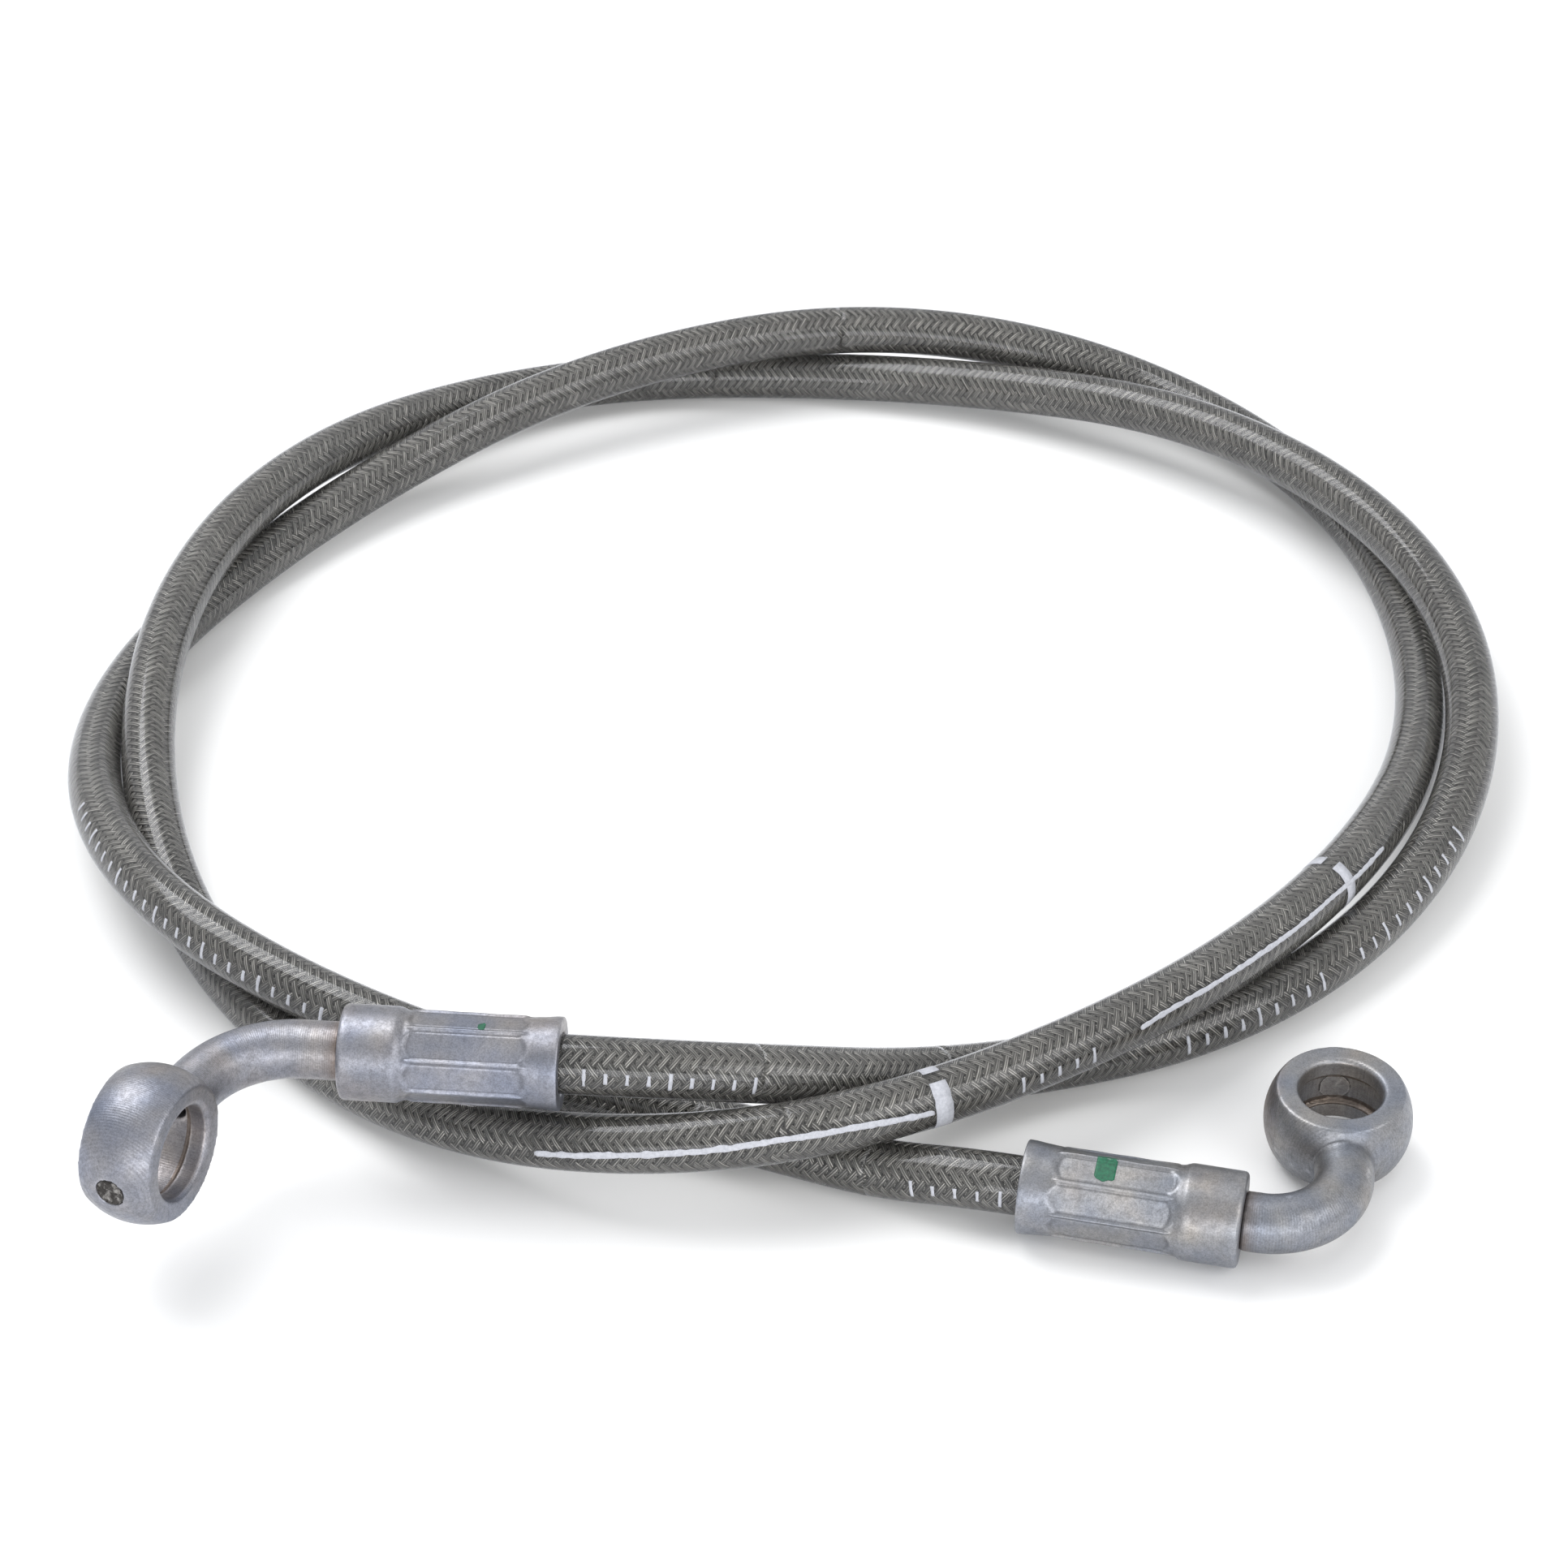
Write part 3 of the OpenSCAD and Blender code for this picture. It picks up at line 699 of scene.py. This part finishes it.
def ferrule(which):
    """closed ferrule shell, and its skin as a grid of points in metres"""
    fit = FITTINGS[which]
    around = FERRULE_AROUND
    angles = angles_round(around)
    z, angle = np.meshgrid(FERRULE_Z, angles, indexing="ij")
    head, tail = (np.repeat(np.array(rings)[:, :, None], around, axis=2)
                  for rings in (FERRULE_HEAD, FERRULE_TAIL))
    radii = np.vstack([head[:, 0], crimped_radii(z, angle, FLAT_PHASE[which]), tail[:, 0]])
    z = np.vstack([head[:, 1], z, tail[:, 1]])
    outward = np.cos(angles)[None, :, None] * UP + np.sin(angles)[None, :, None] * fit.side
    points = (fit.mouth + z[..., None] * fit.out + radii[..., None] * outward) * MM
    c = np.arange(around)
    d = (c + 1) % around
    last = (len(z) - 1) * around
    closing = np.stack([last + c, last + d, d, c], -1)
    quads = np.vstack([grid_quads(len(z), around), closing])
    obj = mesh_object("ferrule_%s_shell" % which, points.reshape(-1, 3), quads,
                      [ferrule_zinc(which, fit)])
    first = len(FERRULE_HEAD)
    return obj, points[first:first + len(FERRULE_Z)]


def turned_length(points, fit):
    """how far points (mm) lie along the bar: down the neck, round its bend, across the eye"""
    before = (points - fit.bend_start) @ fit.out
    offset = points - (fit.bend_start + fit.radius * fit.left)
    angle = np.arctan2(offset @ fit.out, -(offset @ fit.left))
    after = (points - fit.bend_end) @ fit.eye_out
    past_bend = (after > 0) | (angle > fit.bend)
    round_bend = np.where(past_bend, fit.radius * fit.bend + after,
                          fit.radius * np.clip(angle, 0, fit.bend))
    return np.where(before < 0, before, round_bend)


def set_turned(mesh, values):
    attribute = mesh.attributes.new("turned", "FLOAT", "POINT")
    attribute.data.foreach_set("value", values.astype(np.float32))


def banjo(which):
    """the banjo with forged fillets: the CAD solid, remeshed finely and smoothed"""
    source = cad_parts["banjo_" + which]
    obj = bpy.data.objects.new("banjo_%s_forged" % which, source.data.copy())
    bpy.context.scene.collection.objects.link(obj)
    obj.matrix_world = source.matrix_world
    weld = obj.modifiers.new("weld", "WELD")
    weld.merge_threshold = 2e-6
    remesh = obj.modifiers.new("re", "REMESH")
    remesh.mode = "VOXEL"
    remesh.voxel_size = 0.00024
    remesh.use_smooth_shade = True
    smooth = obj.modifiers.new("sm", "SMOOTH")
    smooth.factor = 0.5
    smooth.iterations = 5
    depsgraph = bpy.context.evaluated_depsgraph_get()
    mesh = bpy.data.meshes.new_from_object(obj.evaluated_get(depsgraph))
    obj.modifiers.clear()
    obj.data = mesh
    mesh.materials.clear()
    points = np.empty(len(mesh.vertices) * 3, np.float32)
    mesh.vertices.foreach_get("co", points)
    points = points.reshape(-1, 3).astype(float) / MM
    set_turned(mesh, turned_length(points, FITTINGS[which]))
    mesh.materials.append(banjo_zinc(which, FITTINGS[which]))
    return obj


def lathe(name, origin, axis, profile, around, materials, wobble, seed):
    """uneven surface of revolution about a level axis, from (radius, height) pairs"""
    x = np.cross(axis, UP)
    y = np.cross(axis, x)
    draws = np.random.default_rng(seed)
    angles = angles_round(around)
    outward = np.cos(angles)[:, None] * x + np.sin(angles)[:, None] * y
    rings = []
    for radius, height in profile:
        radii = radius + wobble * draws.standard_normal(around) * min(1.0, radius)
        heights = height + wobble * draws.standard_normal(around) * (1 if height > 0.2 else 0)
        rings.append(origin + radii[:, None] * outward + heights[:, None] * axis)
    # fans of quads close the two small ends
    last = (len(profile) - 1) * around
    caps = []
    for base, order in ((0, -1), (last, 1)):
        for i in range(0, around - 2, 2):
            caps.append([base, base + i + 1, base + i + 2, base + i + 3][::order])
    quads = np.vstack([grid_quads(len(profile), around), np.array(caps)])
    return mesh_object(name, np.vstack(rings) * MM, quads, materials)


def plug(which, material, zinc):
    """peened plug in the ball's far side, its inner end in the banjo's zinc"""
    fit = FITTINGS[which]
    inner = fit.bore / 2 + 0.72             # from the eye's centre to the plug's inner end
    top = fit.ball / 2 - 0.12 - inner
    profile = [
        (0.3, 0.0), (1.0, 0.0), (1.6, 0.0), (1.82, 0.03), (1.82, 0.9), (1.69, 1.1),
        (1.69, top - 0.3), (1.64, top - 0.12), (1.45, top + 0.02), (1.15, top - 0.05),
        (0.8, top + 0.06), (0.55, top - 0.02), (0.3, top + 0.04)]
    obj = lathe("plug_%s_peened" % which, fit.eye + inner * fit.eye_out, fit.eye_out, profile,
                around=48, materials=[material, zinc], wobble=0.05, seed=5)
    mesh = obj.data
    set_turned(mesh, np.zeros(len(mesh.vertices)))
    # the inner end follows the wall of the oil groove
    wall = fit.bore / 2 + 0.68
    wide = np.cross(fit.axis, fit.eye_out)
    for vertex in mesh.vertices:
        offset = np.array(vertex.co, float) / MM - fit.eye
        depth, y = float(offset @ fit.eye_out), float(offset @ wide)
        if depth < inner + 0.06:
            shift = (math.sqrt(wall ** 2 - y * y) - depth) * fit.eye_out
            vertex.co = Vector((fit.eye + offset + shift) * MM)
    for face in mesh.polygons:
        offset = Vector(face.center) / MM - Vector(fit.eye)
        if offset.dot(Vector(fit.eye_out)) < inner + 0.12:
            face.material_index = 1
            face.use_smooth = False
    return obj


def build_fittings():
    """both fittings; returns the ferrules' skins"""
    plug_look = mottled_material("peened_plug", (0.018, 0.015, 0.013), (0.26, 0.25, 0.24),
                                 roughness=0.6, scale=1100, span=(0.50, 0.66))
    skins = {}
    for which in "ab":
        def register(obj, part):
            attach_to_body(obj, "end_" + which)
            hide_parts(part + "_" + which)

        shell, skins[which] = ferrule(which)
        register(shell, "ferrule")
        forged = banjo(which)
        register(forged, "banjo")
        register(plug(which, plug_look, forged.data.materials[0]), "plug")
    return skins


SKINS = build_fittings()

# ------------------------------------------------------------------ ink marks on the jacket
INK_RADIUS = JACKET_OUTER + 0.004
INK_OUTER, INK_INNER = INK_RADIUS + 0.03, INK_RADIUS - 0.03

# Places on the jacket are given as mm right and up of TARGET, in the plane through it that
# faces the camera; the mark lies where the line of sight through the place meets the hose.
# painted lines: stations to look between, width, seed, places
LINES = [
    ((585, 650), 0.76, 3, [
        (-33.22581, -48.92473), (-22.15054, -49.24731), (-10.32258, -48.60215),
        (-0.64516, -47.20430), (10.10753, -45.37634), (20.0, -43.54839)]),
    ((500, 572), 0.60, 9, [
        (47.09677, -32.47312), (50.96774, -30.0), (55.26882, -27.52688),
        (59.56989, -24.94624), (63.87097, -22.04301), (68.17204, -18.92473),
        (72.47312, -15.16129), (75.91398, -12.25806), (79.56989, -8.27957)])]
# bands: station, width, seed, stations to look between, places of the two ends
BANDS = [
    (593.35, 2.15, 31, (585, 602), (20.21505, -39.46237), (19.67742, -38.17204)),
    (526.0, 1.9, 37, (512, 535), (73.06452, -10.78495), (71.13978, -10.58065))]
LINES_PIECE = "c2"      # the piece of hose that carries the lines and the bands
# rows of plain ticks: piece, from, to, pitch, height, angle from the camera's side, seed
TICK_ROWS = [
    ("c1", 107, 160, 2.3, 2.3, -0.62, 100), ("c4", 1072, 1098, 2.5, 2.6, -0.55, 200),
    ("c4", 1104, 1126, 2.5, 2.6, -0.55, 230), ("b2", 21, 33, 2.6, 2.2, -0.60, 300),
    ("c2", 573, 584, 2.5, 2.2, -0.70, 340), ("a2", 1182, 1203, 2.4, 2.2, -0.45, 400)]
TICK_WIDTH = 0.42


def facing_angle(station, point):
    """angle round the hose at a station that faces a point"""
    offset = point - sampled(CENTRES, station)
    return math.atan2(offset @ sampled(BINORMALS, station), offset @ sampled(NORMALS, station))


def skin_place(right, up, low, high):
    """station and angle on the skin, between two stations, seen through a place"""
    sight = TARGET + right * VIEW_RIGHT + up * VIEW_UP - CAMERA
    sight /= np.linalg.norm(sight)
    first, last = int(low / SAMPLE_STEP), int(high / SAMPLE_STEP)
    offsets = CENTRES[first:last] - CAMERA
    misses = np.linalg.norm(offsets - (offsets @ sight)[:, None] * sight, axis=1)
    nearest = first + int(misses.argmin())
    centre, tangent = CENTRES[nearest], TANGENTS[nearest]
    # where the sight line first meets the cylinder round that part of the hose
    back = CAMERA - centre
    sight_across = sight - (sight @ tangent) * tangent
    back_across = back - (back @ tangent) * tangent
    a = sight_across @ sight_across
    b = 2 * sight_across @ back_across
    c = back_across @ back_across - JACKET_OUTER ** 2
    root = math.sqrt(max(b * b - 4 * a * c, 0.0))
    hit = CAMERA + (-b - root) / (2 * a) * sight
    station = STATIONS[nearest] + float((hit - centre) @ tangent)
    return station, facing_angle(station, hit)


def painted_line(window, width, seed, places):
    """closed thin strip along the skin through the places, with ragged edges"""
    hits = np.array([skin_place(*place, *window) for place in places])
    hits = hits[np.argsort(hits[:, 0])]
    hits[:, 1] = np.unwrap(hits[:, 1])
    s = np.arange(hits[0, 0], hits[-1, 0], 0.3)
    rows = len(s)
    half = np.full(rows, width / 2) + ragged(rows, 0.07, seed)
    from_end = np.minimum(np.arange(rows) + 1, rows - np.arange(rows))
    half = np.maximum(0.08, half * np.minimum(1, from_end / 2.0))
    angle = np.interp(s, hits[:, 0], hits[:, 1]) + ragged(rows, 0.012, seed + 1)
    # section of the strip: place across (-1 to 1), radius
    section = [(-1, INK_OUTER), (-0.4, INK_OUTER), (0.4, INK_OUTER), (1, INK_OUTER),
               (1, INK_INNER), (-1, INK_INNER)]
    verts = np.stack([on_hose(s, angle + x * half / JACKET_OUTER, r) for x, r in section], 1)
    ends = np.array([[0, 1, 4, 5], [1, 2, 3, 4]])
    last = (rows - 1) * 6
    quads = np.vstack([grid_quads(rows, 6)[:, ::-1], ends, (ends + last)[:, ::-1]])
    return verts.reshape(-1, 3), quads


def band(station, angle0, angle1, width, seed):
    """painted mark across the hose between two angles"""
    rows = max(6, int(abs(angle1 - angle0) * JACKET_OUTER / 0.25))
    angle = np.linspace(angle0, angle1, rows)
    half = width / 2 + ragged(rows, 0.04, seed)
    verts = np.stack([
        on_hose(station - half, angle, INK_OUTER), on_hose(station + half, angle, INK_OUTER),
        on_hose(station + half, angle, INK_INNER), on_hose(station - half, angle, INK_INNER)], 1)
    last = (rows - 1) * 4
    ends = [[3, 2, 1, 0], [last, last + 1, last + 2, last + 3]]
    return verts.reshape(-1, 3), np.vstack([grid_quads(rows, 4), ends])


def tick_row(start, end, pitch, height, offset, seed):
    """row of ticks across the hose, every fourth one full height"""
    ticks = []
    for i, station in enumerate(np.arange(start, end, pitch)):
        middle = facing_angle(station, CAMERA) + offset
        half = (height if i % 4 == 0 else height * 0.62) / 2 / JACKET_OUTER
        ticks.append(band(station, middle - half, middle + half, TICK_WIDTH, seed + i))
    return ticks


def build_ink():
    """one object of marks for each piece of hose that carries any"""
    ink = mottled_material("pale_ink", (0.36, 0.37, 0.41), (0.50, 0.51, 0.555),
                           roughness=0.6, scale=2600, span=(0.3, 0.65))
    marks = {LINES_PIECE: [painted_line(*line) for line in LINES]}
    for station, width, seed, window, place0, place1 in BANDS:
        # each band goes round under the hose and ends a little short of where it began
        _, end = skin_place(*place0, *window)
        _, start = skin_place(*place1, *window)
        marks[LINES_PIECE].append(band(station, start - TURN, end, width, seed))
    for piece, *row in TICK_ROWS:
        marks.setdefault(piece, []).extend(tick_row(*row))
    for piece, parts in marks.items():
        quads, base = [], 0
        for part_verts, part_quads in parts:
            quads.append(part_quads + base)
            base += len(part_verts)
        verts = np.vstack([part_verts for part_verts, _ in parts])
        obj = mesh_object("ink_" + piece, verts, np.vstack(quads), [ink])
        attach(obj, piece)


build_ink()


# ------------------------------------------------------------------ paint dabs on the ferrules
def paint_dab(which, z0, z1, angle0, angle1, seed, material):
    """closed dab that follows the ferrule's skin between two stations and two angles

    stations run from the ferrule's mouth; angles are degrees from straight up
    """
    fit, skin = FITTINGS[which], SKINS[which]
    first, last = np.searchsorted(FERRULE_Z, [z0, z1])
    start, span = math.radians(angle0), math.radians(angle1 - angle0)
    step = TURN / FERRULE_AROUND
    rows, cols = last - first, max(6, int(span / step))
    edge0, edge1 = ragged(rows, 0.05, seed), ragged(rows, 0.06, seed + 1)
    bulge = 0.10 * np.cos(np.linspace(-1, 1, rows) * math.pi / 2) ** 0.5
    upper, lower = [], []
    for k in range(rows):
        angle = start + np.linspace(edge0[k] - bulge[k], span + bulge[k] + edge1[k], cols)
        x = (angle % TURN) / step
        j = np.floor(x).astype(int)
        part = (x - j)[:, None]
        ring = skin[first + k]
        points = (ring[j % FERRULE_AROUND] * (1 - part)
                  + ring[(j + 1) % FERRULE_AROUND] * part)
        outward = np.cos(angle)[:, None] * UP + np.sin(angle)[:, None] * fit.side
        upper.append(points + 0.022 * MM * outward)
        lower.append(points - 0.04 * MM * outward)
    under = rows * cols             # first vertex of the lower sheet
    right = cols - 1
    end = (rows - 1) * cols
    r, c = np.arange(rows - 1) * cols, np.arange(cols - 1)
    quads = np.vstack([
        grid_quads(rows, cols, wrap=False),
        grid_quads(rows, cols, base=under, wrap=False)[:, ::-1],
        np.stack([r, r + cols, r + cols + under, r + under], -1),
        np.stack([r + right + under, r + cols + right + under, r + cols + right, r + right], -1),
        np.stack([c + under, c + 1 + under, c + 1, c], -1),
        np.stack([end + c, end + c + 1, end + c + 1 + under, end + c + under], -1)])
    obj = mesh_object("paint_dab_" + which, np.vstack(upper + lower), quads, [material])
    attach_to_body(obj, "end_" + which)


GREEN = mottled_material("green_paint", (0.002, 0.055, 0.030), (0.006, 0.13, 0.062),
                         roughness=0.45, scale=2600, span=(0.3, 0.65))
paint_dab("b", z0=8.3, z1=11.1, angle0=-22.0, angle1=18.0, seed=51, material=GREEN)
paint_dab("a", z0=8.7, z1=9.8, angle0=-5.0, angle1=7.0, seed=57, material=GREEN)


# ------------------------------------------------------------------ floor and light (metres)
def add_floor(half=20):
    look = mottled_material("pale_floor", (0.90, 0.90, 0.905), (0.92, 0.92, 0.92),
                            roughness=0.85, scale=8, span=(0.3, 0.7), detail=2, grain=0.55,
                            bump=None)
    corners = [[-half, -half, 0], [half, -half, 0], [half, half, 0], [-half, half, 0]]
    floor = mesh_object("floor", corners, np.array([[0, 1, 2, 3]]), [look], smooth=False)


def add_world():
    world = bpy.data.worlds.new("studio")
    bpy.context.scene.world = world
    world.use_nodes = True
    background = world.node_tree.nodes["Background"]
    background.inputs["Color"].default_value = (0.97, 0.985, 1.0, 1)
    background.inputs["Strength"].default_value = 0.85


def area_light(name, location, size, power, target=(0, 0, 0), colour=(1, 1, 1)):
    data = bpy.data.lights.new(name, "AREA")
    data.shape = "RECTANGLE"
    data.size, data.size_y = size
    data.energy = power
    data.color = colour
    obj = bpy.data.objects.new(name, data)
    obj.location = location
    aim = Vector(target) - Vector(location)
    obj.rotation_euler = aim.to_track_quat("-Z", "Y").to_euler()
    obj.visible_camera = False
    bpy.context.scene.collection.objects.link(obj)


add_floor()
add_world()
area_light("key", (-0.35, 0.25, 0.75), size=(0.6, 0.6), power=5.0)
area_light("fill", (0.6, -0.5, 0.6), size=(0.5, 0.5), power=2.0, colour=(1.0, 0.98, 0.95))
area_light("front", (0.05, -0.85, 0.22), size=(0.9, 0.35), power=3.0, target=(0, 0, 0.01))
bpy.context.scene.view_settings.view_transform = "Standard"
